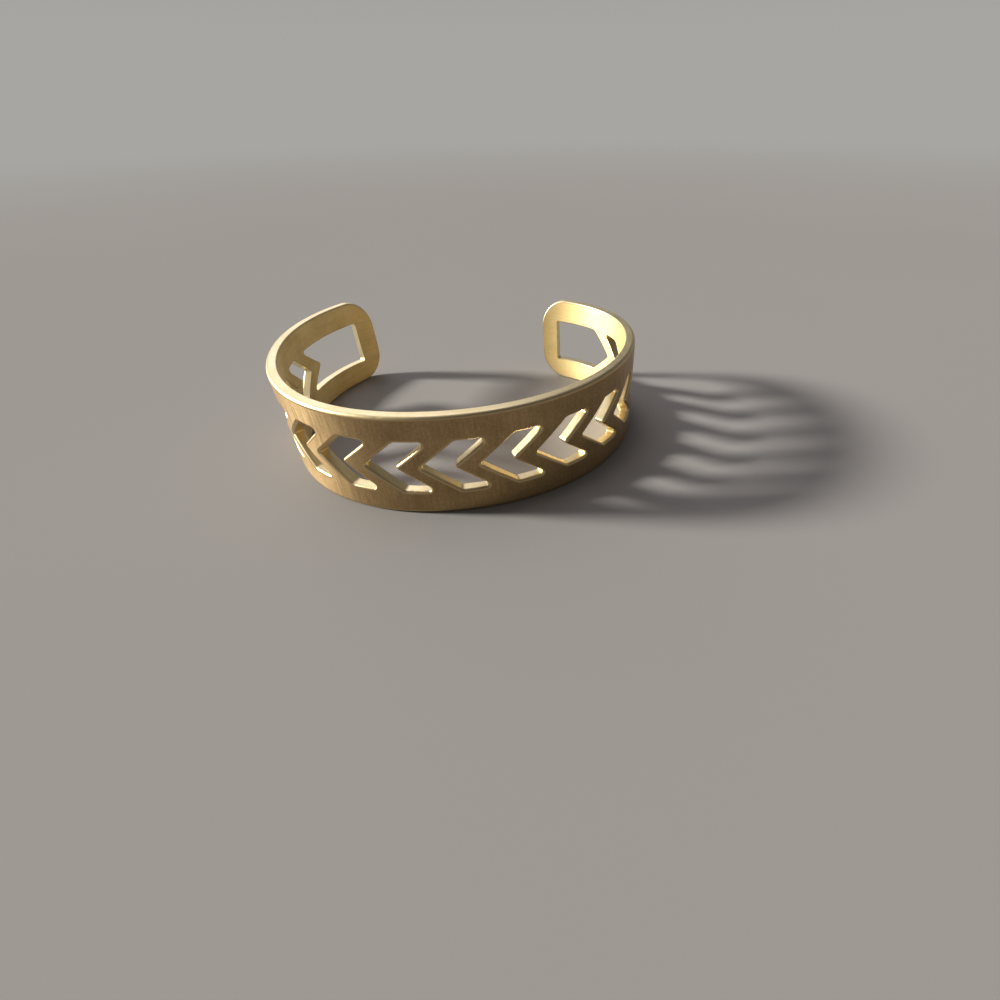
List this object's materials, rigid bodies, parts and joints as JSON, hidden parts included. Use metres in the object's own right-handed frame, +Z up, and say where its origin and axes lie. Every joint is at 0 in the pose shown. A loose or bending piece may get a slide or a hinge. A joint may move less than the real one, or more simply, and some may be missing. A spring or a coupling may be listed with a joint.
{
  "type": "cuff bracelet",
  "caption": "Open brass cuff bracelet with a pierced row of chevrons along the band and a squared window at each rounded tip.",
  "frame": {"origin": "centre of the bounding box on the floor, under the cuff as it lies on one long edge", "axes": "+Z up, along the height of the band; +X across the width of the cuff, to the viewer's right; the middle of the front faces -Y and the mouth opens towards +Y"},
  "size_m": [0.0622, 0.0541, 0.016],
  "materials": {
    "metal": "brushed satin faces with polished edges"
  },
  "bodies": {
    "root": {"cuff": "metal"}
  },
  "joints": []
}
